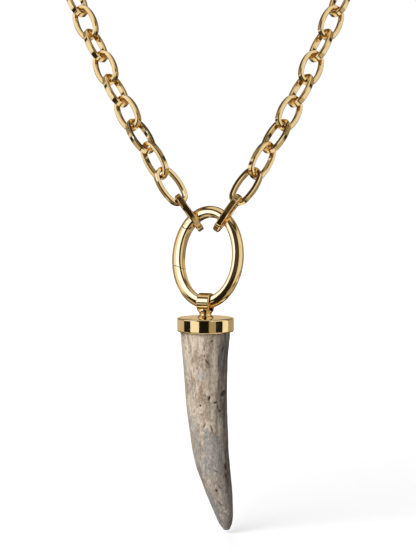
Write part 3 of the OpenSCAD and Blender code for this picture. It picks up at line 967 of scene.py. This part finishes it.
def build_band():
    """Cards on a short drum round the cap, seen by reflections only. They make the stripes on its side."""
    middle = PENDANT_AT - [0, 0, CAP_HEIGHT / 2]
    points, faces, shades = [], [], []
    for first, last, shade in BAND:
        steps = max(1, round((last - first) / BAND_SPACING))
        for i in range(steps):
            start = len(points)
            for a in (first + (last - first) * i / steps, first + (last - first) * (i + 1) / steps):
                x, y = BAND_RADIUS * math.sin(math.radians(a)), -BAND_RADIUS * math.cos(math.radians(a))
                points += [middle + [x, y, BAND_LOW], middle + [x, y, BAND_HIGH]]
            faces.append((start, start + 1, start + 3, start + 2))
            shades.append(shade)
    band = new_object("cards_round_cap", points, faces, smooth=False)
    colours = band.data.color_attributes.new("shade", "FLOAT_COLOR", "CORNER")
    for face, shade in zip(band.data.polygons, shades):
        for corner in face.loop_indices:
            colours.data[corner].color = (*shade, 1)
    material, tree, shader, _ = new_material("cards")
    shader.inputs["Base Color"].default_value = (0, 0, 0, 1)
    shader.inputs["Specular IOR Level"].default_value = 0
    seen = node(tree, "ShaderNodeAttribute", attribute_name="shade").outputs["Color"]
    tree.links.new(seen, shader.inputs["Emission Color"])
    shader.inputs["Emission Strength"].default_value = 1.0
    band.data.materials.append(material)
    hide_from_light(band, camera=False)
    band.visible_glossy = True


def build_lamps():
    """Soft lamps for the antler and the floor. The gold doesn't reflect them: it has its cards."""
    target = PENDANT_AT - [0, 0, ANTLER_MIDDLE_DOWN]
    for name, azimuth, elevation, size, strength in LAMPS:
        data = bpy.data.lights.new(name, "AREA")
        data.shape = "DISK"
        data.size = size * MM
        data.energy = strength
        data.color = LAMP_COLOUR
        lamp = bpy.data.objects.new(name, data)
        bpy.context.scene.collection.objects.link(lamp)
        a, e = math.radians(azimuth), math.radians(elevation)
        way = np.array([math.sin(a) * math.cos(e), -math.cos(a) * math.cos(e), math.sin(e)])
        lamp.location = ((target + LAMP_DISTANCE * way) * MM).tolist()
        lamp.rotation_euler = (math.pi / 2 - e, 0, a)
        lamp.visible_glossy = False


def hide_from_light(obj, camera=True):
    """Keeps a stage piece from lighting, shading or showing in the object."""
    obj.visible_glossy = False
    obj.visible_diffuse = False
    obj.visible_transmission = False
    obj.visible_shadow = False
    obj.visible_camera = camera


def build_floor():
    """Pale floor just below the antler's tip, which goes over into the dome's white."""
    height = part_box("antler")[0].z / MM - FLOOR_BELOW_TIP
    corners = [(FLOOR_REACH * x, FLOOR_REACH * y, height) for x, y in ((-1, -1), (1, -1), (1, 1), (-1, 1))]
    floor = new_object("floor", corners, [(0, 1, 2, 3)])
    material, tree, shader, where = new_material("floor_white")
    shader.inputs["Roughness"].default_value = 0.9
    shade = noise(tree, where, 0.002, detail=2)
    tree.links.new(mix_colour(tree, shade, FLOOR_WHITE, FLOOR_PALER), shader.inputs["Base Color"])
    shader.inputs["Emission Color"].default_value = (1, 1, 1, 1)
    away = node(tree, "ShaderNodeVectorMath", operation="DISTANCE")
    tree.links.new(where, away.inputs[0])
    away.inputs[1].default_value = (PENDANT_AT[0] * MM, PENDANT_AT[1] * MM, height * MM)
    glow = ramp(tree, away.outputs["Value"], GLOW_NEAR[0] * MM, GLOW_FAR[0] * MM, GLOW_NEAR[1], GLOW_FAR[1])
    tree.links.new(glow, shader.inputs["Emission Strength"])
    floor.data.materials.append(material)
    hide_from_light(floor)


def build_dome():
    """White dome behind everything."""
    bpy.ops.mesh.primitive_uv_sphere_add(segments=64, ring_count=32, radius=DOME_RADIUS * MM)
    dome = bpy.context.object
    dome.name = "dome"
    material, _, shader, _ = new_material("dome_white")
    shader.inputs["Base Color"].default_value = (0, 0, 0, 1)
    shader.inputs["Emission Color"].default_value = (1, 1, 1, 1)
    shader.inputs["Emission Strength"].default_value = 1.0
    dome.data.materials.append(material)
    hide_from_light(dome)


def build_camera():
    """A camera in front, which looks a little down."""
    data = bpy.data.cameras.new("camera")
    data.sensor_fit = "HORIZONTAL"
    data.sensor_width = SENSOR
    data.lens = PIXELS_PER_MM * VIEW_DISTANCE * SENSOR / PICTURE_WIDTH
    data.clip_end = FAR_CLIP * MM
    camera = bpy.data.objects.new("camera", data)
    bpy.context.scene.collection.objects.link(camera)
    pitch = math.radians(VIEW_PITCH)
    aim = np.array([AIM_ACROSS, HANG[1], HANG[2] + AIM_ABOVE_BAIL])
    away = VIEW_DISTANCE * np.array([0, -math.cos(pitch), math.sin(pitch)])
    camera.location = ((aim + away) * MM).tolist()
    camera.rotation_euler = (math.pi / 2 - pitch, 0, 0)
    bpy.context.scene.camera = camera


def main():
    build_camera()
    build_world()
    build_floor()
    build_dome()
    build_band()
    build_lamps()
    # The second material is gold darkened with painted shade, for the ring's gaps
    gold, gap = gold_material("gold_plate"), gap_shade_material("gold_in_gaps")
    for made in [*build_chain(), *build_ring(gold, gap), build_bail(gold), build_cap()]:
        if not made.data.materials:
            made.data.materials.append(gold)
    build_antler().data.materials.append(antler_material())
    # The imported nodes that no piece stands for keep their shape
    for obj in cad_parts.values():
        if not obj.hide_render:
            obj.data.materials.clear()
            obj.data.materials.append(gold)
            obj.data.shade_smooth()
    bpy.context.scene.view_settings.view_transform = "Standard"


main()
